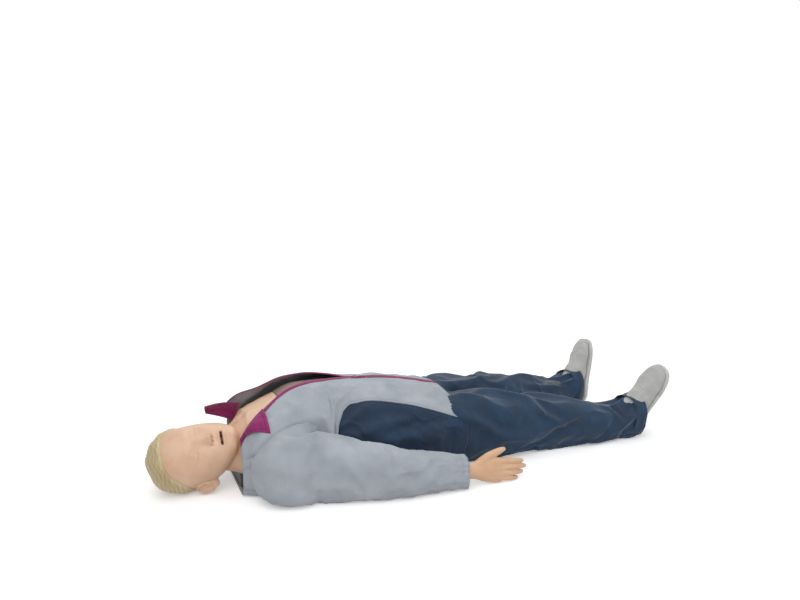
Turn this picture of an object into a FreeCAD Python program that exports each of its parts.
"""Adult full-body CPR training manikin on its back in a zipped jacket, trousers and shoes.

Millimetres: +X runs from the crown to the feet, +Y to the manikin's left, +Z up from the floor.
"""
import FreeCAD
import Part
import Sketcher
import math
import os

V = FreeCAD.Vector
ROT = FreeCAD.Rotation
PLACE = FreeCAD.Placement
ORIGIN, X_AXIS, Y_AXIS, Z_AXIS = V(0, 0, 0), V(1, 0, 0), V(0, 1, 0), V(0, 0, 1)
SIDES = (("right", -1), ("left", 1))
FAR = 1500.0

# Driving dimensions: alias, value in millimetres or degrees, meaning
SIZES = (
    ("pivot_x", -690, "head pivot between the ears"),
    ("pivot_z", 101.2, "height of the head pivot and of the neck axis"),
    ("head_turn", 45, "turn to the manikin's right as laid down"),
    ("head_lean", 8, "backward lean as laid down"),
    ("head_extension", 25, "further backward tilt that opens the airway"),
    ("crown", 129, "head pivot to crown, mask surface"),
    ("chin", 108, "head pivot to chin"),
    ("head_half_width", 84, "widest half breadth above the ears"),
    ("head_back", 89, "head pivot to the occiput"),
    ("head_front", 88, "head pivot to the cheeks and brow"),
    ("hair_thickness", 7, "moulded hair over the skull line"),
    ("mask_wall", 4, "soft face mask"),
    ("skull_wall", 3.5, "hard skull"),
    ("fit_gap", 0.4, "clearance between seated shells"),
    ("mouth_width", 40, "mouth slit length"),
    ("mouth_gap", 6.5, "mouth slit height"),
    ("nostril_radius", 2.4, "nostril"),
    ("trunnion_radius", 6, "head pivot stub"),
    ("neck_radius", 54, "neck skin"),
    ("neck_wall", 4, "neck and chest skin"),
    ("shoulder_x", -480, "shoulder axis"),
    ("shoulder_z", 100, "height of the shoulder axis"),
    ("shoulder_y", 165, "arm centre line at the shoulder"),
    ("armhole_y", 134, "jacket half breadth at the armhole"),
    ("armhole_radius", 56, "armhole opening"),
    ("seam_gap", 1.2, "gap between pieces that turn past each other"),
    ("sleeve_head_radius", 97, "sleeve about the shoulder axis"),
    ("sleeve_head_width", 62, "breadth of the sleeve head"),
    ("upper_arm", 256, "shoulder to elbow"),
    ("upper_arm_yaw", 19.5, "spread of the upper arm"),
    ("upper_arm_pitch", 6.8, "downward slope of the upper arm"),
    ("elbow_radius", 66, "sleeve at the elbow, half height"),
    ("elbow_half_width", 54, "sleeve at the elbow, half breadth"),
    ("elbow_bend", 90, "largest elbow bend"),
    ("forearm", 258, "elbow to wrist"),
    ("forearm_yaw", 10.5, "spread of the forearm"),
    ("forearm_pitch", 5.4, "downward slope of the forearm"),
    ("cuff_half_height", 42, "sleeve at the cuff"),
    ("cuff_half_width", 32, "sleeve at the cuff"),
    ("cuff_length", 24, "stitched cuff band"),
    ("arm_core_radius", 34, "arm moulding"),
    ("wrist_radius", 25, "arm moulding at the wrist"),
    ("hand_length", 176, "wrist to fingertips"),
    ("cloth", 3, "cloth wall"),
    ("pin_radius", 5, "elbow and knee pins"),
    ("bolt_radius", 8, "shoulder and hip bolts"),
    ("running_gap", 0.08, "radial clearance of a turning fit"),
    ("chest_height", 286, "jacket ridge over the breastbone"),
    ("hem_height", 215, "jacket front hem"),
    ("hem_x", 50, "jacket hem"),
    ("hem_half_width", 182, "jacket half breadth at the hem"),
    ("back_seam_z", 26, "height of the seam between jacket back and sides"),
    ("under_jacket", 14, "jacket to the chest skin"),
    ("chest_travel", 55, "chest compression depth"),
    ("spring_radius", 31, "compression spring, mean coil radius"),
    ("spring_wire", 5, "compression spring wire"),
    ("spring_turns", 5, "compression spring turns"),
    ("rod_radius", 12, "plunger rod"),
    ("tray_half_width", 112, "back shell half breadth"),
    ("tray_depth", 97, "back shell height"),
    ("tray_lift", 6.8, "back shell floor above the ground"),
    ("tray_wall", 4, "back shell wall"),
    ("hip_x", -30, "hip axis"),
    ("hip_z", 98, "height of the hip axis"),
    ("hip_y", 92, "leg centre line at the hip"),
    ("hip_radius", 94.5, "trousers about the hip axis"),
    ("hip_bend", 60, "largest hip bend"),
    ("seat_half_width", 175, "trousers half breadth at the seat"),
    ("thigh", 380, "hip to knee"),
    ("leg_yaw", 4.8, "spread of the legs"),
    ("thigh_pitch", 2.1, "downward slope of the thigh"),
    ("knee_radius", 76, "trousers at the knee, half height"),
    ("knee_half_width", 76, "trousers at the knee, half breadth"),
    ("knee_bend", 90, "largest knee bend"),
    ("shin", 342, "knee to ankle"),
    ("shin_pitch", 2.8, "downward slope of the shin"),
    ("calf_radius", 57, "trousers at the calf, half height"),
    ("leg_hem_radius", 57, "trousers hem"),
    ("leg_core_radius", 48, "leg moulding"),
    ("ankle_radius", 32, "leg moulding at the ankle"),
    ("shoe_length", 236, "heel to toe"),
    ("shoe_half_width", 44, "shoe half breadth"),
    ("shoe_lean", 16, "forward lean of the toes"),
    ("shoe_splay", 17, "outward lean of the toes"),
    ("sole_thickness", 14, "shoe sole"),
    ("zip_stop_x", -256, "closed part of the zip starts here"),
    ("zip_travel", 60, "slider travel along the straight part"),
    ("zip_slope", 4.6, "slope of the closed zip along the belly, degrees"),
    ("tape_width", 7, "visible breadth of each zip tape"),
)

doc = FreeCAD.newDocument("cpr_training_manikin")
sheet = doc.addObject("Spreadsheet::Sheet", "Sizes")
for row, (alias, value, meaning) in enumerate(SIZES, 1):
    sheet.set(f"A{row}", alias)
    sheet.set(f"B{row}", str(value))
    sheet.setAlias(f"B{row}", alias)
    sheet.set(f"C{row}", meaning)
doc.recompute()
s = {alias: float(sheet.get(alias)) for alias, value, meaning in SIZES}

nodes = []


def keep(label, shape, place=None):
    """Adds a finished shape to the document as a sub-part of its own."""
    node = doc.addObject("Part::Feature", label)
    node.Label = label
    node.Shape = shape
    if place is not None:
        node.Placement = place
    nodes.append(node)
    return node


def keep_tree(item, label):
    """Takes the result of a feature tree as a sub-part."""
    item.Label = label
    nodes.append(item)
    return item


def primitive(kind, label, place=None, **sizes):
    """Adds a primitive whose sizes follow the sheet by expressions."""
    item = doc.addObject(kind, label)
    for name, expression in sizes.items():
        item.setExpression(name, expression)
    if place is not None:
        item.Placement = place
    return item


def combine(kind, label, first, *others):
    """Adds a boolean of document objects."""
    item = doc.addObject(kind, label)
    if kind == "Part::Cut":
        item.Base, item.Tool = first, others[0]
    else:
        item.Shapes = [first, *others]
    return item


def section(x, y, half_width, low, wide, high, top_power=2.0, base_power=2.0, count=16):
    """Closed outline across X, widest at height wide; a power above 2 makes a half squarer."""
    points = []
    for step in range(count):
        angle = 2 * math.pi * step / count
        across, up = math.cos(angle), math.sin(angle)
        power = 2 / (top_power if up >= 0 else base_power)
        rise = high - wide if up >= 0 else wide - low
        py = y + half_width * math.copysign(abs(across) ** power, across)
        pz = wide + rise * math.copysign(abs(up) ** power, up)
        points.append(V(x, py, pz))
    curve = Part.BSplineCurve()
    curve.interpolate(points, PeriodicFlag=True)
    return Part.Wire([curve.toShape()])


def oval(x, half_width, half_height, y=0.0, z=0.0):
    """Elliptic outline across X."""
    return section(x, y, half_width, z - half_height, z, z + half_height)


def loft(sections):
    """Solid through closed outlines."""
    return Part.makeLoft(sections, True, False)


def bar(radius, start, end):
    """Round bar between two points."""
    axis = end - start
    return Part.makeCylinder(radius, axis.Length, start, axis)


def cross_bar(radius, y_low, y_high, x=0.0, z=0.0):
    """Round bar along Y."""
    return bar(radius, V(x, min(y_low, y_high), z), V(x, max(y_low, y_high), z))


def block(x, y, z):
    """Block between the limits of three ranges."""
    return Part.makeBox(x[1] - x[0], abs(y[1] - y[0]), z[1] - z[0], V(x[0], min(y), z[0]))


def plan_prism(outline, low, high):
    """Upright block from an outline of x and y."""
    points = [V(x, y, low) for x, y in outline]
    return Part.Face(Part.makePolygon(points + points[:1])).extrude(V(0, 0, high - low))


def side_prism(outline, y_low, y_high, smooth=False):
    """Block along Y from an outline of x and z."""
    points = [V(x, y_low, z) for x, z in outline]
    if smooth:
        curve = Part.BSplineCurve()
        curve.interpolate(points, PeriodicFlag=True)
        wire = Part.Wire([curve.toShape()])
    else:
        wire = Part.makePolygon(points + points[:1])
    return Part.Face(wire).extrude(V(0, y_high - y_low, 0))


def fuse(*shapes):
    """Union of shapes as one solid."""
    return shapes[0].multiFuse(list(shapes[1:])).removeSplitter()


def largest(shape):
    """Largest solid of a shape, without slivers left by cuts."""
    return sorted(shape.Solids, key=lambda item: item.Volume)[-1]


def turned(shape, angle, axis=None):
    """Copy of a shape turned about an axis through the origin."""
    copy = shape.copy()
    copy.Placement = PLACE(ORIGIN, ROT(axis or Y_AXIS, angle)).multiply(copy.Placement)
    return copy


def placed(shape, place):
    """Copy of a shape moved by a placement."""
    copy = shape.copy()
    copy.Placement = place.multiply(copy.Placement)
    return copy


def bend_room(radius, half_breadth, angle, spare=0.0):
    """Space about a bending axis along Y: a drum and the neighbouring tube at its nearest."""
    drum = cross_bar(radius, -half_breadth, half_breadth)
    strip = block((0, FAR), (-half_breadth, half_breadth), (-radius - spare, radius + spare))
    return drum.fuse(turned(strip, angle))


def slot_room(half_height, half_breadth, low_angle, high_angle):
    """Space that a bar needs as it swings about Y from one angle to another."""
    middle = (low_angle + high_angle) / 2
    strip = block((0, FAR), (-half_breadth, half_breadth), (-half_height, half_height))
    return fuse(*[turned(strip, -angle) for angle in (low_angle, middle, high_angle)])


def jacket_body(offset, past_hem=0.0):
    """Jacket form from the collar to the hem, grown outwards by an offset, flat on the floor."""
    chest, hem = s["chest_height"], s["hem_height"]
    stations = (
        (-593, 112, 80, chest - 100),
        (-560, 140, 90, chest - 74),
        (-510, 156, 96, chest - 42),
        (-450, 160, 100, chest - 10),
        (-385, 160, 104, chest),
        (-320, 164, 104, chest - 6),
        (-240, 167, 100, chest - 20),
        (-150, 171, 98, chest - 28),
        (-60, 176, 96, chest - 45),
        (s["hem_x"], s["hem_half_width"], 96, hem),
    )
    rings = []
    x, half_width, wide, high = stations[-1]
    for x, half_width, wide, high in stations + ((x + 60, half_width, wide, high),):
        rings.append(section(x, 0, half_width + offset, -3 - offset, wide, high + offset, 2.2, 5.0, 24))
    floor = -offset if offset < 0 else 0.0
    armhole, end = s["armhole_y"] + offset, s["hem_x"] + past_hem
    outline = [(-650, -armhole), (-372, -armhole), (-325, -152 - offset), (end, -200), (end, 200)]
    outline += [(-325, 152 + offset), (-372, armhole), (-650, armhole)]
    return loft(rings).common(plan_prism(outline, floor, FAR))


def opening_outline(edge):
    """Plan of the open front, its edge moved inwards by a distance."""
    stop = s["zip_stop_x"]
    side = ((stop - edge, 0.3), (-330, 27 - edge), (-400, 39 - edge), (-470, 50 - edge))
    side += ((-540, 70 - edge), (-700, 116 - edge))
    return [(x, -y) for x, y in side] + [(x, y) for x, y in reversed(side)]


def make_jacket():
    """Jacket back, two fronts, two side panels, zip tapes, slider and stand collar."""
    outer, inner = jacket_body(0), jacket_body(-s["cloth"], 0.5)
    inner = inner.fuse(block((-700, -592.5), (-102, 102), (s["cloth"], 172)))
    shell = outer.cut(inner)
    hole = cross_bar(s["armhole_radius"], -FAR, FAR, s["shoulder_x"], s["shoulder_z"])
    shell = shell.cut(hole)
    seam, hem = s["back_seam_z"], s["hem_x"]
    low_part = block((-FAR, FAR), (-FAR, FAR), (-1, seam))
    keep("jacket_back", shell.common(low_part))
    upper = shell.cut(low_part)
    opening = plan_prism(opening_outline(0), 120, FAR)
    middle = block((-FAR, FAR), (-0.3, 0.3), (100, FAR))
    upper = upper.cut(opening.fuse(middle))
    outline = [(-346, seam - 1), (-352, 150), (-330, 196), (-296, 224), (-240, 228), (-123, 210)]
    outline += [(-27, 182), (hem + 20, 146), (hem + 20, seam - 1)]
    for name, sign in SIDES:
        y = sorted((sign * 20, sign * 400))
        half = upper.common(block((-FAR, FAR), sorted((0, sign * FAR)), (-1, FAR)))
        panel = side_prism(outline, y[0], y[1])
        keep(f"jacket_front_{name}", half.cut(panel))
        keep(f"side_panel_{name}", half.common(panel))
    make_zip()
    make_collar()


def make_zip():
    """Zip tapes along both front edges, the bottom box and the slider with its pull."""
    top, under = jacket_body(1.4), jacket_body(0.05, 0.5)
    skin = top.cut(under).cut(block((-FAR, FAR), (-FAR, FAR), (-1, 120)))
    width = s["tape_width"]
    wide = plan_prism(opening_outline(-width), 110, FAR)
    straight = block((s["zip_stop_x"] - 8, FAR), (-width, width), (110, FAR))
    edge = plan_prism(opening_outline(0), 100, FAR).fuse(block((-FAR, FAR), (-0.3, 0.3), (90, FAR)))
    band = skin.common(wide.fuse(straight)).cut(edge)
    for name, sign in SIDES:
        half = block((-FAR, s["hem_x"]), sorted((sign * 0.3, sign * FAR)), (0, FAR))
        keep(f"zip_tape_{name}", band.common(half))
    start = s["zip_stop_x"] + 22
    height = s["chest_height"]
    body = block((start, start + 13), (-5.5, 5.5), (0, 4))
    pull = block((start + 9, start + 40), (-3, 3), (2.2, 4.2)).cut(bar(1.6, V(start + 36, 0, 0), V(start + 36, 0, 9)))
    slider = fuse(body, pull, block((start + 3, start + 9), (-1.6, 1.6), (3, 6)))
    ridge = V(start, 0, height - 20.2)
    place = PLACE(ridge, ROT(Y_AXIS, s["zip_slope"])).multiply(PLACE(V(-start, 0, 2.0), ROT()))
    keep("zip_slider", slider, place)


def make_collar():
    """Stand collar: a flared band round the neck, open at the front with the lapels."""
    def band(offset):
        """Collar form grown by an offset."""
        rings = [section(-593.6, 0, 112 + offset, 0.2 - offset, 80, 186 + offset, 2.2, 3.0)]
        rings.append(section(-625, 0, 128 + offset, 0.4 - offset, 88, 208 + offset, 2.2, 3.0))
        rings.append(section(-658, 0, 136 + offset, 0.6 - offset, 96, 224 + offset, 2.2, 3.0))
        return loft(rings)
    ring = band(0).cut(band(-s["cloth"]))
    ring = ring.cut(plan_prism(opening_outline(0), 100, FAR))
    corner = side_prism([(-700, 120), (-632, 300), (-700, 300)], -FAR, FAR)
    keep("collar", ring.cut(corner))


def chest_form(offset):
    """Moulded chest surface under the jacket, grown by an offset."""
    top = s["chest_height"] - s["under_jacket"]
    stations = ((-468, 122, top - 28), (-430, 123, top - 12), (-380, 124, top - 6), (-300, 121, top - 8))
    stations += ((-220, 117, top - 22), (-172, 112, top - 30))
    rings = [section(x, 0, w + offset, 40, 130, h + offset, 2.3, 2.3) for x, w, h in stations]
    return loft(rings)


def make_chest():
    """Chest skin, lung bag, rib plate and plunger rod: all that moves in a compression."""
    wall, gap = s["neck_wall"], s["fit_gap"]
    above = block((-469, -171), (-FAR, FAR), (164, FAR))
    skin = chest_form(0).cut(chest_form(-wall)).common(above)
    keep("chest_skin", skin)
    bag = chest_form(-wall - 0.3).cut(chest_form(-wall - 2.6))
    keep("lung_bag", bag.common(block((-445, -255), (-80, 80), (164, FAR))))
    inner = chest_form(-wall - 7)
    plate = chest_form(-wall - 2.9).cut(inner).common(block((-466, -174), (-FAR, FAR), (160, FAR)))
    hub_z = 196.0
    hub = bar(18, V(-360, 0, hub_z), V(-360, 0, FAR)).common(chest_form(-wall - 3.5))
    flange = bar(40, V(-360, 0, hub_z), V(-360, 0, hub_z + 5))
    ribs = [block((-362, -358), (-95, 95), (hub_z + 5, FAR)), block((-450, -190), (-2, 2), (hub_z + 5, FAR))]
    web = fuse(*ribs).common(chest_form(-wall - 5))
    seat = bar(s["rod_radius"], V(-360, 0, hub_z), V(-360, 0, hub_z + 30))
    keep("rib_plate", fuse(plate, hub, flange, web).cut(seat))
    rod = primitive("Part::Cylinder", "plunger_rod", PLACE(V(-360, 0, 66), ROT()), Radius="Sizes.rod_radius")
    rod.Height = hub_z + 30 - 66
    keep_tree(rod, "plunger_rod")


def make_spring():
    """Compression spring between the guide flange and the rib plate."""
    low, high = 108.4, 195.6
    radius, wire, turns = s["spring_radius"], s["spring_wire"], s["spring_turns"]
    pitch = (high - low - wire) / turns
    helix = Part.makeHelix(pitch, pitch * turns, radius)
    half = wire / 2
    corners = [V(radius - half, 0, -half), V(radius + half, 0, -half), V(radius + half, 0, half)]
    corners += [V(radius - half, 0, half)]
    profile = Part.makePolygon(corners + corners[:1])
    spring = Part.Wire(helix.Edges).makePipeShell([profile], True, True)
    keep("compression_spring", spring, PLACE(V(-360, 0, low + half), ROT()))
    floor = s["tray_lift"] + s["tray_wall"]
    guide = fuse(bar(45, V(-360, 0, floor), V(-360, 0, floor + 5)), bar(24, V(-360, 0, floor), V(-360, 0, 129.6)))
    guide = guide.fuse(bar(40, V(-360, 0, 101.6), V(-360, 0, 108.2)))
    keep("spring_guide", guide.cut(bar(s["rod_radius"] + s["running_gap"], V(-360, 0, 0), V(-360, 0, 140))))


def sketch(body, role, label, offset=None):
    """Adds a sketch flat on an origin plane of a body."""
    plane = [item for item in body.Origin.OriginFeatures if item.Role == role][0]
    item = body.newObject("Sketcher::SketchObject", label)
    item.AttachmentSupport = [(plane, "")]
    item.MapMode = "FlatFace"
    if offset is not None:
        item.AttachmentOffset = PLACE(offset, ROT())
    return item


def draw_rectangle(item, width, height, centre=(0.0, 0.0)):
    """Rectangle about a centre; width and height are expressions on the sheet."""
    cx, cy = centre
    corners = [V(cx - 1, cy - 1, 0), V(cx + 1, cy - 1, 0), V(cx + 1, cy + 1, 0), V(cx - 1, cy + 1, 0)]
    first = item.GeometryCount
    for index in range(4):
        item.addGeometry(Part.LineSegment(corners[index], corners[(index + 1) % 4]), False)
    for index in range(4):
        item.addConstraint(Sketcher.Constraint("Coincident", first + index, 2, first + (index + 1) % 4, 1))
    for index in range(4):
        item.addConstraint(Sketcher.Constraint("Vertical" if index % 2 else "Horizontal", first + index))
    for kind, edge, value, at in (("DistanceX", 0, width, cx), ("DistanceY", 1, height, cy)):
        number = item.addConstraint(Sketcher.Constraint(kind, first + edge, 1, first + edge, 2, 2.0))
        item.setExpression(f"Constraints[{number}]", value)
        half = item.addConstraint(Sketcher.Constraint(kind, -1, 1, first + 1, 2, 1.0))
        item.setExpression(f"Constraints[{half}]", f"{at} + ({value}) / 2")


def draw_circle(item, radius, centre=(0.0, 0.0)):
    """Circle whose radius is an expression on the sheet."""
    number = item.addGeometry(Part.Circle(V(centre[0], centre[1], 0), Z_AXIS, 3.0), False)
    rule = item.addConstraint(Sketcher.Constraint("Radius", number, 3.0))
    item.setExpression(f"Constraints[{rule}]", radius)
    for kind, value in (("DistanceX", centre[0]), ("DistanceY", centre[1])):
        item.addConstraint(Sketcher.Constraint(kind, -1, 1, number, 3, value))


def pad(body, profile, length, label, midplane=False):
    """Pads a sketch by an expression."""
    feature = body.newObject("PartDesign::Pad", label)
    feature.Profile = profile
    feature.setExpression("Length", length)
    feature.Midplane = midplane
    return feature


def pocket(body, profile, length, label, midplane=False, reverse=False):
    """Pockets a sketch by an expression."""
    feature = body.newObject("PartDesign::Pocket", label)
    feature.Profile = profile
    feature.setExpression("Length", length)
    feature.Midplane = midplane
    feature.Reversed = reverse
    return feature


def make_back_shell():
    """Moulded tray under the chest: floor, walls, cross ribs and shoulder bolt holes."""
    body = doc.addObject("PartDesign::Body", "back_shell")
    plan = sketch(body, "XY_Plane", "tray_plan")
    draw_rectangle(plan, "430", "2 * Sizes.tray_half_width")
    pad(body, plan, "Sizes.tray_depth", "tray_block")
    hollow = sketch(body, "XY_Plane", "tray_hollow", V(0, 0, s["tray_wall"]))
    draw_rectangle(hollow, "430 - 2 * Sizes.tray_wall", "2 * Sizes.tray_half_width - 2 * Sizes.tray_wall")
    solid = pocket(body, hollow, "Sizes.tray_depth", "tray_inside", reverse=True)
    for label, wall, radius in (("tray_inner_corners", s["tray_wall"], 26), ("tray_outer_corners", 0, 30)):
        doc.recompute()
        corner = V(215 - wall, s["tray_half_width"] - wall, 0)
        upright = []
        for number, edge in enumerate(solid.Shape.Edges, 1):
            low, high = edge.Vertexes[0].Point, edge.Vertexes[-1].Point
            if abs(high.z - low.z) > 50 and V(abs(low.x), abs(low.y), 0).isEqual(corner, 0.1):
                upright.append(f"Edge{number}")
        fillet = body.newObject("PartDesign::Fillet", label)
        fillet.Base = (solid, upright)
        fillet.Radius = radius
        solid = fillet
    doc.recompute()
    for offset in (-150, -60, 90):
        rib = sketch(body, "XY_Plane", f"rib_plan_{offset + 200}")
        draw_rectangle(rib, "Sizes.tray_wall", "2 * Sizes.tray_half_width - 4", (offset, 0.0))
        pad(body, rib, "22", f"rib_{offset + 200}")
    ends = sketch(body, "YZ_Plane", "screw_plan", V(0, 0, 215))
    for y in (-45.0, 45.0):
        for z in (40.0, 75.0):
            draw_circle(ends, "4.01", (y, z - s["tray_lift"]))
    pocket(body, ends, "3 * Sizes.tray_wall", "screw_holes")
    holes = sketch(body, "XZ_Plane", "bolt_hole")
    draw_circle(holes, "Sizes.bolt_radius + 0.01", (-120.0, s["shoulder_z"] - s["tray_lift"]))
    pocket(body, holes, "3 * Sizes.tray_half_width", "bolt_holes", midplane=True)
    body.Placement = PLACE(V(-360, 0, s["tray_lift"]), ROT())
    return keep_tree(body, "back_shell")


def make_pelvis():
    """Hollow pelvis block between the legs, with the hip bolt holes."""
    body = doc.addObject("PartDesign::Body", "pelvis_block")
    plan = sketch(body, "XY_Plane", "pelvis_plan")
    draw_rectangle(plan, "146", "140")
    pad(body, plan, "130", "pelvis_pad")
    hollow = sketch(body, "XY_Plane", "pelvis_hollow", V(0, 0, 130))
    draw_rectangle(hollow, "146 - 12", "140 - 12")
    pocket(body, hollow, "124", "pelvis_inside")
    ends = sketch(body, "YZ_Plane", "pelvis_screw_plan", V(0, 0, -73))
    for y in (-45.0, 45.0):
        for z in (26.0, 61.0):
            draw_circle(ends, "4.01", (y, z))
    pocket(body, ends, "12", "pelvis_screw_holes", reverse=True)
    holes = sketch(body, "XZ_Plane", "hip_hole")
    draw_circle(holes, "Sizes.bolt_radius + 0.01", (s["hip_x"] + 71.4, s["hip_z"] - 14))
    pocket(body, holes, "400", "hip_holes", midplane=True)
    body.Placement = PLACE(V(-71.4, 0, 14), ROT())
    return keep_tree(body, "pelvis_block")


def make_bolts():
    """Shoulder, hip and waist fasteners."""
    radius = s["bolt_radius"]

    def across(x, z, start, end, head_start, head_end, head):
        """One bolt along +Y with a head and a nut."""
        shaft = cross_bar(radius, start - 8, end, x, z)
        nut = cross_bar(radius + 5, start - 9, start, x, z)
        return fuse(shaft, nut, cross_bar(head, head_start, head_end, x, z))

    inside = s["tray_half_width"] - s["tray_wall"] - 0.1
    shoulder = across(s["shoulder_x"], s["shoulder_z"], inside, 165, 158.6, 168, 15)
    hip = across(s["hip_x"], s["hip_z"], 63.9, 118, 112.6, 121, 15)
    for label, bolt in (("shoulder_bolts", shoulder), ("hip_bolts", hip)):
        keep(label, Part.makeCompound([bolt, bolt.mirror(ORIGIN, Y_AXIS)]))
    screws = []
    for y in (-45, 45):
        for z in (40, 75):
            screws.append(fuse(bar(4, V(-151, y, z), V(-136, y, z)), bar(7, V(-152.6, y, z), V(-149.02, y, z))))
    keep("waist_screws", Part.makeCompound(screws))


def head_place():
    """Place of the head as laid down; its own +X points to the chin and +Z out of the face."""
    lie = ROT(X_AXIS, s["head_turn"]).multiply(ROT(Y_AXIS, -s["head_lean"]))
    return PLACE(V(s["pivot_x"], 0, s["pivot_z"]), lie)


def neck_place():
    """Place of the neck: turned like the head but in line with the body."""
    return PLACE(V(s["pivot_x"], 0, s["pivot_z"]), ROT(X_AXIS, s["head_turn"]))


def head_form(offset):
    """Head without ears, nose or lips, from crown to chin, grown by an offset."""
    wide, back, front = s["head_half_width"], s["head_back"], s["head_front"]
    crown, chin = s["crown"], s["chin"]
    stations = (
        (-crown, 0.30, -0.30, -0.02, 0.26),
        (-crown * 0.93, 0.56, -0.58, -0.06, 0.48),
        (-crown * 0.75, 0.83, -0.84, -0.10, 0.75),
        (-crown * 0.48, 0.97, -0.97, -0.12, 0.93),
        (-crown * 0.20, 1.00, -1.00, -0.10, 0.98),
        (chin * 0.10, 0.98, -0.94, -0.04, 0.98),
        (chin * 0.36, 0.90, -0.74, 0.06, 0.98),
        (chin * 0.60, 0.78, -0.36, 0.22, 0.97),
        (chin * 0.80, 0.60, 0.05, 0.42, 0.95),
        (chin * 0.94, 0.40, 0.38, 0.62, 0.91),
        (chin, 0.22, 0.54, 0.70, 0.84),
    )
    rings = []
    for x, half, low, middle, high in stations:
        base = back if low < 0 else front
        level = back if middle < 0 else front
        reach = x * (1 + offset / (crown if x < 0 else chin))
        rings.append(section(reach, 0, wide * half + offset, base * low - offset, level * middle,
                             front * high + offset, 2.1, 2.1))
    return loft(rings)


def oval_solid(centre, radii):
    """Ellipsoid."""
    scale = FreeCAD.Matrix()
    scale.scale(*radii)
    ball = Part.makeSphere(1.0).transformGeometry(scale)
    ball.Placement = PLACE(centre, ROT())
    return ball


def neck_room(radius):
    """Space that the neck takes inside the head over the whole backward tilt."""
    reach = s["head_extension"]
    arms = [turned(bar(radius, V(20, 0, 0), V(FAR / 4, 0, 0)), angle) for angle in (0, reach / 2, reach)]
    lean = s["head_lean"]
    return turned(fuse(*arms), lean)


def make_head():
    """Face mask with ears, nose and mouth, and the moulded hair."""
    place, gap = head_place(), s["fit_gap"]
    wide, front, chin = s["head_half_width"], s["head_front"], s["chin"]
    room = neck_room(s["neck_radius"] + 3)
    face_line = [(-s["crown"] * 0.78, front + 60), (-s["crown"] * 0.70, front * 0.62), (-58, 24), (-36, -6)]
    face_line += [(-26, -32), (10, -40), (44, -34), (60, -12), (chin + 60, -8), (chin + 60, front + 60)]
    face_zone = side_prism(face_line, -FAR / 4, FAR / 4)
    mouth_x, nose_x = chin * 0.60, chin * 0.38
    hollow, root = head_form(-s["mask_wall"]), head_form(-1.5)
    mask = head_form(0).cut(hollow).common(face_zone).cut(room)
    nose_rings = ((-12, 4, front * 0.92), (6, 7, front * 1.06), (22, 11, front * 1.19), (34, 15, front * 1.25))
    nose_rings += ((nose_x + 2, 16, front * 1.16), (nose_x + 6, 12, front * 1.0))
    nose = loft([section(x, 0, half, 60, 66, high, 1.5, 2.0) for x, half, high in nose_rings])
    details = [nose, oval_solid(V(mouth_x - 5, 0, front * 0.95), (6, 23, 7))]
    details.append(oval_solid(V(mouth_x + 6, 0, front * 0.94), (6, 21, 7)))
    for sign in (-1, 1):
        details.append(oval_solid(V(-12, sign * 33, front * 0.80), (9, 17, 11)))
        ear = oval_solid(V(10, sign * (wide + 1), -14), (32, 10, 19))
        details.append(ear.cut(oval_solid(V(8, sign * (wide + 13), -12), (19, 9, 10))))
    for detail in details:
        mask = mask.fuse(detail.cut(root))
    slit = block((mouth_x - s["mouth_gap"] / 2, mouth_x + s["mouth_gap"] / 2),
                 (-s["mouth_width"] / 2, s["mouth_width"] / 2), (front * 0.55, FAR))
    mask = mask.cut(slit)
    for sign in (-1, 1):
        start, end = V(nose_x - 4, sign * 7, front * 0.6), V(nose_x + 12, sign * 8, FAR / 10)
        mask = mask.cut(bar(s["nostril_radius"], start, end))
        peg_seat = V(48, sign * (wide - 22), -4)
        mask = mask.cut(bar(3.2, peg_seat, peg_seat + V(0, sign * 40, 0)))
    keep("face_mask", largest(mask), place)
    ears = [oval_solid(V(10, sign * (wide + 1), -14), (32 + gap, 10 + gap, 19 + gap)) for sign in (-1, 1)]
    hair = head_form(s["hair_thickness"]).cut(head_form(gap - s["mask_wall"])).cut(room)
    middle = V(chin / 2, 0, front)
    grow = 1 + 2 * gap / front
    zone_line = [(middle.x + (x - middle.x) * grow, middle.z + (z - middle.z) * grow) for x, z in face_line]
    zone = side_prism(zone_line, -FAR / 4, FAR / 4)
    hair = hair.cut(zone).cut(fuse(*ears)).cut(block((62, FAR), (-FAR, FAR), (-FAR, FAR)))
    keep("moulded_hair", largest(hair), place)
    make_skull(place)


def make_skull(place):
    """Hard parts inside the mask."""
    room = neck_room(s["neck_radius"] + 3)
    grow = s["mask_wall"] + s["fit_gap"]
    mouth_x, front, wide = s["chin"] * 0.60, s["head_front"], s["head_half_width"]
    skull = head_form(-grow).cut(head_form(-grow - s["skull_wall"])).cut(room)
    skull = skull.cut(block((28, FAR), (-FAR, FAR), (-12, FAR)))
    boss = fuse(cross_bar(11, wide - 26, wide - 5), cross_bar(11, -wide + 26, -wide + 5))
    boss = boss.common(head_form(-grow - 0.5))
    seat = cross_bar(s["trunnion_radius"], -FAR, FAR)
    keep("skull", fuse(skull, *boss.Solids).cut(seat), place)
    stubs = [cross_bar(s["trunnion_radius"], sign * 33, sign * (wide - 8)) for sign in (-1, 1)]
    keep("tilt_pins", Part.makeCompound(stubs), place)
    tube = bar(11, V(mouth_x, 0, front - 34), V(mouth_x, 0, front)).common(head_form(-s["mask_wall"] - 0.3))
    keep("mouthpiece", tube.cut(bar(8, V(mouth_x, 0, 0), V(mouth_x, 0, front))), place)


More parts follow.
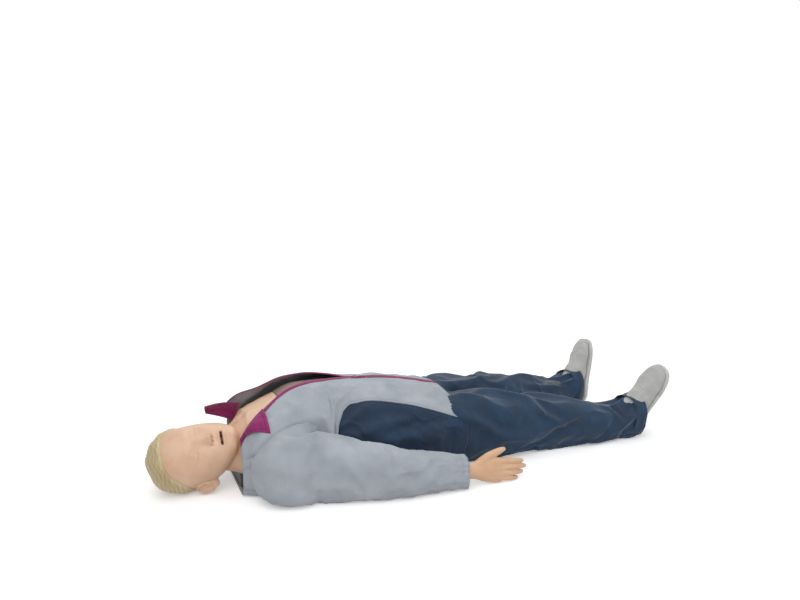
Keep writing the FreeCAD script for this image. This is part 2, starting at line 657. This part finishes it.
def make_neck():
    """Neck mount, turning yoke, neck skin and upper chest skin."""
    place = neck_place()
    away = -s["pivot_x"]
    radius, wall = s["neck_radius"], s["neck_wall"]
    mount = block((-587, -575), (-42, 42), (4, 132)).cut(bar(16 + s["running_gap"], V(-600, 0, s["pivot_z"]), V(-560, 0, s["pivot_z"])))
    keep("neck_mount", mount)
    start = -598 + away
    yoke = bar(16, V(start, 0, 0), V(-575.6 + away, 0, 0))
    bridge = block((start - 8, start), (-42, 42), (-13, 13))
    arms = []
    for sign in (-1, 1):
        arm = block((0, start), sorted((sign * 34, sign * 42)), (-13, 13))
        arms.append(arm.fuse(cross_bar(13, sign * 34, sign * 42)))
    seat = cross_bar(s["trunnion_radius"] + s["running_gap"], -60, 60)
    keep("neck_yoke", fuse(yoke, bridge, *arms).cut(seat), place)
    skin = loft([oval(x, radius + grow, radius + grow) for x, grow in ((34, 0), (60, 0), (90, 1.0))])
    inner = loft([oval(x, radius + grow - wall, radius + grow - wall) for x, grow in ((30, 0), (60, 0), (94, 1.0))])
    disc = bar(radius, V(start + 0.6, 0, 0), V(start + 4, 0, 0)).cut(bar(16, V(0, 0, 0), V(200, 0, 0)))
    keep("neck_skin", skin.cut(inner).fuse(disc).removeSplitter(), place)


def chest_top_form(offset):
    """Shoulder and upper chest surface under the collar."""
    top = s["chest_height"] - s["under_jacket"] - 28
    stations = ((-591, 98, top - 74), (-560, 118, top - 40), (-520, 124, top - 20), (-470.5, 126, top))
    return loft([section(x, 0, half + offset, 30, 110, high + offset, 2.3, 2.3) for x, half, high in stations])


def make_upper_chest():
    """Upper chest skin with the neck hole."""
    shell = chest_top_form(0).cut(chest_top_form(-s["neck_wall"]))
    rim = s["tray_lift"] + s["tray_depth"] + 0.4
    shell = shell.cut(block((-FAR, FAR), (-FAR, FAR), (-FAR, rim)))
    shell = shell.cut(block((-FAR, -587.4), (-FAR, FAR), (-FAR, FAR)))
    hole = cross_bar(s["armhole_radius"], -FAR, FAR, s["shoulder_x"], s["shoulder_z"])
    keep("upper_chest_skin", shell.cut(hole))


def frame_of(x, y, z, yaw, pitch):
    """Place of a limb segment: its joint, spread about Z and slope about its own Y."""
    return PLACE(V(x, y, z), ROT(Z_AXIS, yaw).multiply(ROT(Y_AXIS, pitch)))


def next_frame(place, length, yaw, pitch):
    """Place of the segment that starts at the end of another one."""
    end = place.multVec(V(length, 0, 0))
    return frame_of(end.x, end.y, end.z, yaw, pitch)


def hand_form(sign):
    """Hand on its little-finger edge with the palm to the body; the wrist is at the origin."""
    palm = loft([oval(x, w, h, 0, z) for x, w, h, z in
                 ((-14, 21, 24, 0), (12, 17, 27, 0), (48, 14, 37, -1), (84, 11, 38, -2), (92, 8, 35, -2))])
    palm = palm.common(block((-14, 90), (-50, 50), (-37, 60)))
    pieces = [palm]
    inwards = -sign
    fingers = ((26, 66, 8.4), (8.5, 76, 8.8), (-9, 70, 8.4), (-25.5, 56, 7.6))
    for z, length, radius in fingers:
        knuckle, middle, end = 76, 90 + length * 0.45, 90 + length
        points = ((knuckle, 0, 0, 1.0), (middle, 2, -2, 0.95), (end - radius, 8, -5, 0.82), (end, 10, -6, 0.36))
        rings = []
        for x, dy, dz, part in points:
            centre = V(x, inwards * dy, z * (1.06 - x * 0.0006) + dz)
            rings.append(Part.Wire([Part.makeCircle(radius * part, centre, X_AXIS)]))
        pieces.append(Part.makeLoft(rings, True, True))
    thumb = ((14, 2, 16, 13), (40, 3, 36, 11.5), (66, 4, 48, 10), (82, 5, 54, 8.5), (91, 6, 58, 4))
    rings = []
    for x, dy, z, radius in thumb:
        rings.append(Part.Wire([Part.makeCircle(radius, V(x, inwards * dy, z), V(0.85, 0, 0.52))]))
    pieces.append(Part.makeLoft(rings, True, True))
    return fuse(*pieces)


def make_arm(name, sign):
    """Upper arm and forearm mouldings with the hand, elbow pin, sleeves and cuff."""
    cloth, gap, run = s["cloth"], s["seam_gap"], s["running_gap"]
    upper = frame_of(s["shoulder_x"], sign * s["shoulder_y"], s["shoulder_z"], sign * s["upper_arm_yaw"],
                     s["upper_arm_pitch"])
    fore = next_frame(upper, s["upper_arm"], sign * s["forearm_yaw"], s["forearm_pitch"])
    to_fore = upper.inverse().multiply(fore)
    elbow_r, elbow_w, core = s["elbow_radius"], s["elbow_half_width"], s["arm_core_radius"]
    plane = s["armhole_y"] + gap
    edge = plane + s["sleeve_head_width"]

    def world(shape):
        """Shape given about the shoulder axis, in the upper arm's frame."""
        hub = PLACE(V(s["shoulder_x"], 0, s["shoulder_z"]), ROT())
        return placed(shape, upper.inverse().multiply(hub))

    def sleeve(offset):
        """Upper sleeve form, grown by an offset."""
        head = world(cross_bar(s["sleeve_head_radius"] + offset, sign * (plane - max(-offset, 0)),
                               sign * (edge + offset)))
        rings = ((0, 50, 92), (70, 58, 90), (150, 57, 78), (s["upper_arm"], elbow_w, elbow_r - 1.2))
        tube = loft([section(x, 0, w + offset, -h - offset, 0, h + offset, 2.6, 2.6) for x, w, h in rings])
        keepout = world(block((-FAR, FAR), (-sign * FAR, sign * (plane - max(-offset, 0))), (-FAR, FAR)))
        drum = placed(cross_bar(elbow_r + offset, -elbow_w * 0.8 - offset, elbow_w * 0.8 + offset), to_fore)
        return head.fuse(tube.cut(keepout)).fuse(drum)

    opening = world(cross_bar(s["armhole_radius"] + 30, sign * (plane - 20), sign * (plane + 20)))
    slot = placed(slot_room(core * 0.62 + 9, 28, 0, s["elbow_bend"]), to_fore)
    shell = sleeve(0).cut(sleeve(-cloth)).cut(opening).cut(slot)
    keep(f"upper_sleeve_{name}", largest(shell), upper)

    boss = world(cross_bar(core, sign * 124.5, sign * 170))
    arm = loft([oval(x, w, h) for x, w, h in ((0, 30, 30), (60, core, core), (150, 32, 34), (205, 24, 26))])
    tongue = placed(cross_bar(24, -12, 12), to_fore)
    blank = fuse(boss, arm, tongue, placed(block((-70, 0), (-12, 12), (-18, 18)), to_fore))
    arm_room = placed(cross_bar(24 + 6, -30, -12.4).fuse(cross_bar(30, 12.4, 30)), to_fore)
    blank = blank.cut(arm_room)
    blank = blank.cut(world(cross_bar(s["bolt_radius"] + run, 0, sign * 260)))
    blank = blank.cut(world(cross_bar(16, sign * 158.3, sign * 260)))
    blank = blank.cut(placed(cross_bar(s["pin_radius"] + run, -40, 40), to_fore))
    keep(f"upper_arm_{name}", largest(blank), upper)

    cheeks = [cross_bar(21, low, high) for low, high in ((-22, -12.6), (12.6, 22))]
    webs = [block((0, 60), (low, high), (-17, 17)) for low, high in ((-22, -12.6), (12.6, 22))]
    lower = loft([oval(x, w, h) for x, w, h in ((36, 23, 24), (100, 30, 32), (s["forearm"] - 10, 21, 25))])
    room = cross_bar(24.6, -12.6, 12.6).fuse(block((0, 28), (-12.6, 12.6), (-40, 40)))
    back = turned(block((0, 90), (-12.6, 12.6), (-19, 19)), -(180 - s["elbow_bend"]))
    hand = placed(hand_form(sign), PLACE(V(s["forearm"], 0, 0), ROT(Y_AXIS, -2)))
    arm_solid = fuse(*cheeks, *webs, lower).cut(room).cut(back)
    arm_solid = fuse(arm_solid, hand).cut(cross_bar(s["pin_radius"], -40, 40))
    keep(f"forearm_hand_{name}", arm_solid, fore)
    pin = primitive("Part::Cylinder", f"elbow_pin_{name}", Radius="Sizes.pin_radius")
    pin.Height = 44
    pin.Placement = fore.multiply(PLACE(V(0, 22, 0), ROT(X_AXIS, 90)))
    keep_tree(pin, f"elbow_pin_{name}")

    length = s["forearm"] + 2
    high, half = s["cuff_half_height"], s["cuff_half_width"]

    def lower_sleeve(offset, start, end):
        """Forearm sleeve form between two stations."""
        rings = ((-20, elbow_w, elbow_r), (60, 52, 62), (150, 42, 50), (length, half, high))
        tube = loft([section(x, 0, w + offset, -h - offset, 0, h + offset, 2.6, 2.6) for x, w, h in rings])
        return tube.common(block((start, end), (-FAR, FAR), (-FAR, FAR)))

    room = bend_room(elbow_r + gap, elbow_w + 20, -(180 - s["elbow_bend"]), 8)
    cuff_at = length - s["cuff_length"]
    body = lower_sleeve(0, -30, cuff_at - 0.2).cut(lower_sleeve(-cloth, -40, FAR)).cut(room)
    keep(f"lower_sleeve_{name}", largest(body), fore)
    band = lower_sleeve(0.6, cuff_at, length).cut(lower_sleeve(-cloth, -40, FAR))
    keep(f"cuff_{name}", band, fore)


def make_leg(name, sign):
    """Thigh and shin mouldings, knee pin, trouser leg and shoe."""
    cloth, gap, run = s["cloth"], s["seam_gap"], s["running_gap"]
    thigh = frame_of(s["hip_x"], sign * s["hip_y"], s["hip_z"], sign * s["leg_yaw"], s["thigh_pitch"])
    shin = next_frame(thigh, s["thigh"], sign * s["leg_yaw"], s["shin_pitch"])
    to_shin = thigh.inverse().multiply(shin)
    knee_r, knee_w, core = s["knee_radius"], s["knee_half_width"], s["leg_core_radius"]

    def world(shape):
        """Shape given about the hip axis, in the thigh's frame."""
        hub = PLACE(V(s["hip_x"], 0, s["hip_z"]), ROT())
        return placed(shape, thigh.inverse().multiply(hub))

    def upper_form(offset):
        """Thigh trouser form, grown by an offset."""
        rings = ((-20, 85, 96), (60, 86, 94.5), (200, 82, 89.5), (300, 78, 83), (s["thigh"], knee_w, knee_r))
        tube = loft([section(x, 0, w + offset, -h - offset, 0, h + offset, 2.5, 2.5) for x, w, h in rings])
        drum = placed(cross_bar(knee_r + offset, -knee_w * 0.8 - offset, knee_w * 0.8 + offset), to_shin)
        return tube.fuse(drum)

    room = world(bend_room(s["hip_radius"] + gap, s["seat_half_width"] + 60, -(180 - s["hip_bend"])))
    slot = placed(slot_room(41, 41, -s["knee_bend"], 0), to_shin)
    under = placed(jacket_body(-cloth - 0.9, 2), thigh.inverse())
    past = placed(block((-FAR, s["hem_x"] + 2), (-FAR, FAR), (-FAR, FAR)), thigh.inverse())
    shell = upper_form(0).cut(upper_form(-cloth)).cut(room).cut(slot)
    shell = shell.common(under).fuse(shell.cut(past))
    keep(f"thigh_trouser_{name}", largest(shell), thigh)

    hip = s["hip_y"]
    boss = world(cross_bar(30, sign * (hip - 20), sign * (hip + 20)))
    blank = loft([oval(x, w, w) for x, w in ((0, 18, ), (90, 26), (150, core), (290, 40), (334, 27))])
    tongue = placed(fuse(cross_bar(27, -14, 14), block((-70, 0), (-14, 14), (-20, 20))), to_shin)
    blank = fuse(blank, boss, tongue)
    blank = blank.cut(placed(fuse(cross_bar(32, -34, -14.4), cross_bar(32, 14.4, 34)), to_shin))
    blank = blank.cut(world(cross_bar(s["bolt_radius"] + run, 0, sign * 200)))
    blank = blank.cut(placed(cross_bar(s["pin_radius"] + run, -60, 60), to_shin))
    keep(f"thigh_core_{name}", largest(blank), thigh)

    cheeks = [cross_bar(24, low, high) for low, high in ((-26, -14.6), (14.6, 26))]
    webs = [block((0, 70), (low, high), (-20, 20)) for low, high in ((-26, -14.6), (14.6, 26))]
    lower = loft([oval(x, w, w) for x, w in ((40, 27), (110, 42), (220, 36), (s["shin"] + 4, s["ankle_radius"]))])
    room = cross_bar(27.6, -14.6, 14.6).fuse(block((0, 31), (-14.6, 14.6), (-40, 40)))
    back = turned(block((0, 100), (-14.6, 14.6), (-21, 21)), 180 - s["knee_bend"])
    solid = fuse(*cheeks, *webs, lower).cut(room).cut(back).cut(cross_bar(s["pin_radius"], -60, 60))
    keep(f"shin_core_{name}", solid, shin)
    pin = primitive("Part::Cylinder", f"knee_pin_{name}", Radius="Sizes.pin_radius")
    pin.Height = 52
    pin.Placement = shin.multiply(PLACE(V(0, 26, 0), ROT(X_AXIS, 90)))
    keep_tree(pin, f"knee_pin_{name}")

    calf, hem, hem_x = s["calf_radius"], s["leg_hem_radius"], s["shin"] + 10

    def lower_form(offset, grow=0.0):
        """Shin trouser form, grown by an offset."""
        rings = ((-20, 0, knee_w, -knee_r, 0, knee_r), (80, 0, 74, -68, 0, 66), (190, 0, 70, -66, -4, calf),
                 (280, sign * 3, 66, -65, -6, hem - 6), (hem_x + grow, sign * 8, 68, -64, 2, hem + 12))
        return loft([section(x, y, w + offset, low - offset, mid, high + offset, 2.4, 2.4)
                     for x, y, w, low, mid, high in rings])

    room = bend_room(knee_r + gap, knee_w + 30, 180 - s["knee_bend"], 9)
    shell = lower_form(0).cut(lower_form(-cloth, 0.01)).cut(room)
    keep(f"shin_trouser_{name}", largest(shell), shin)
    make_shoe(name, sign, shin, lower_form(0.4, 0.4).cut(lower_form(-cloth - 0.4, 0.5)))


def make_shoe(name, sign, shin, hem):
    """Shoe upper and sole, toes up, the upper clear of the trouser hem."""
    ankle = shin.multVec(V(s["shin"], 0, 0))
    lie = ROT(X_AXIS, -sign * s["shoe_splay"]).multiply(ROT(Y_AXIS, s["shoe_lean"] - 90))
    foot = PLACE(ankle, lie)
    heel, length, wide = -46.0, s["shoe_length"], s["shoe_half_width"]
    toe = heel + length
    under = -58.0
    tread = under + s["sole_thickness"]
    outline = ((heel, 0, 0.55), (heel + 10, 0, 0.74), (30, 0, 0.78), (80, 0, 0.92), (130, 0, 1.0), (165, 0, 0.84),
               (toe - 8, 0, 0.5), (toe, 0, 0.2))
    side = [V(x, y + wide * w, under) for x, y, w in outline]
    other = [V(x, y - wide * w, under) for x, y, w in reversed(outline)]
    curve = Part.BSplineCurve()
    curve.interpolate(side + other, PeriodicFlag=True)
    sole = Part.Face(Part.Wire([curve.toShape()])).extrude(V(0, 0, s["sole_thickness"] - 0.3))
    keep(f"shoe_sole_{name}", sole, foot)
    rings = ((heel + 1, 0.42, tread + 28), (heel + 8, 0.66, 34), (0, 0.78, 42), (30, 0.82, 42), (58, 0.86, 26))
    rings += ((92, 0.93, 6), (130, 0.97, -8), (165, 0.8, -18), (toe - 6, 0.45, -28), (toe - 1, 0.2, -34))
    upper = loft([section(x, 0, wide * w, 2 * tread - (tread + 12), tread + 12, high, 2.6, 2.0)
                  for x, w, high in rings])
    upper = upper.common(block((-FAR, FAR), (-FAR, FAR), (tread, FAR)))
    axis = foot.inverse().multiply(shin)
    leg = placed(bar(s["ankle_radius"] + 8, V(s["shin"] - 90, 0, 0), V(s["shin"] + 4.4, 0, 0)), axis)
    keep(f"shoe_upper_{name}", largest(upper.cut(leg).cut(placed(hem, axis))), foot)


def make_seat():
    """Trouser seat over the pelvis, open at the waist and where the legs leave it."""
    half = s["seat_half_width"]

    def form(offset):
        """Seat form, grown by an offset."""
        top = s["hip_z"] + s["hip_radius"]
        rings = ((-150, 150, 3.6, 90, top + 8), (-100, 164, 3.6, 94, top + 4), (s["hip_x"], half, 3.6, s["hip_z"], top))
        tube = loft([section(x, 0, w + offset, low - offset, mid, high + offset, 2.8, 4.4, 24)
                     for x, w, low, mid, high in rings])
        drum = cross_bar(s["hip_radius"] + offset, -half * 0.95 - offset, half * 0.95 + offset, s["hip_x"], s["hip_z"])
        return tube.fuse(drum)

    outer = form(0).common(jacket_body(-s["cloth"] - 0.9, 60))
    inner = form(-s["cloth"]).common(jacket_body(-2 * s["cloth"] - 0.9, 60))
    shell = outer.cut(inner).cut(block((-160, -142), (-FAR, FAR), (-1, FAR)))
    hub = PLACE(V(s["hip_x"], 0, s["hip_z"]), ROT())
    slot = placed(slot_room(33, 36, 0, s["hip_bend"]), hub)
    for sign in (-1, 1):
        side = slot.copy()
        side.Placement = PLACE(V(0, sign * (s["hip_y"] + 4), 0), ROT()).multiply(slot.Placement)
        shell = shell.cut(side)
    keep("trouser_seat", largest(shell))


make_jacket()
make_chest()
make_spring()
make_back_shell()
make_pelvis()
make_bolts()
make_seat()
make_upper_chest()
make_neck()
make_head()
for side_name, side_sign in SIDES:
    make_arm(side_name, side_sign)
    make_leg(side_name, side_sign)
doc.recompute()

bounds = FreeCAD.BoundBox()
for node in nodes:
    if node.Label.startswith(("moulded_hair", "shoe_sole", "jacket_back")):
        bounds.add(node.Shape.optimalBoundingBox())
shift = V(-bounds.Center.x, 0, 0)
for node in nodes:
    node.Placement = PLACE(shift, ROT()).multiply(node.Placement)
doc.recompute()

os.makedirs("parts", exist_ok=True)
broken = [node.Label for node in nodes if {"Invalid", "Error"}.intersection(node.State)
          or node.Shape.isNull() or not node.Shape.isValid()]
if broken:
    raise RuntimeError(f"did not build: {broken}")
for node in nodes:
    node.Shape.exportStep(f"parts/{node.Label}.step")
print(f"{len(nodes)} sub-parts, shift {shift.x:.3f} mm, length {bounds.XLength:.1f} mm, lowest {bounds.ZMin:.2f}")
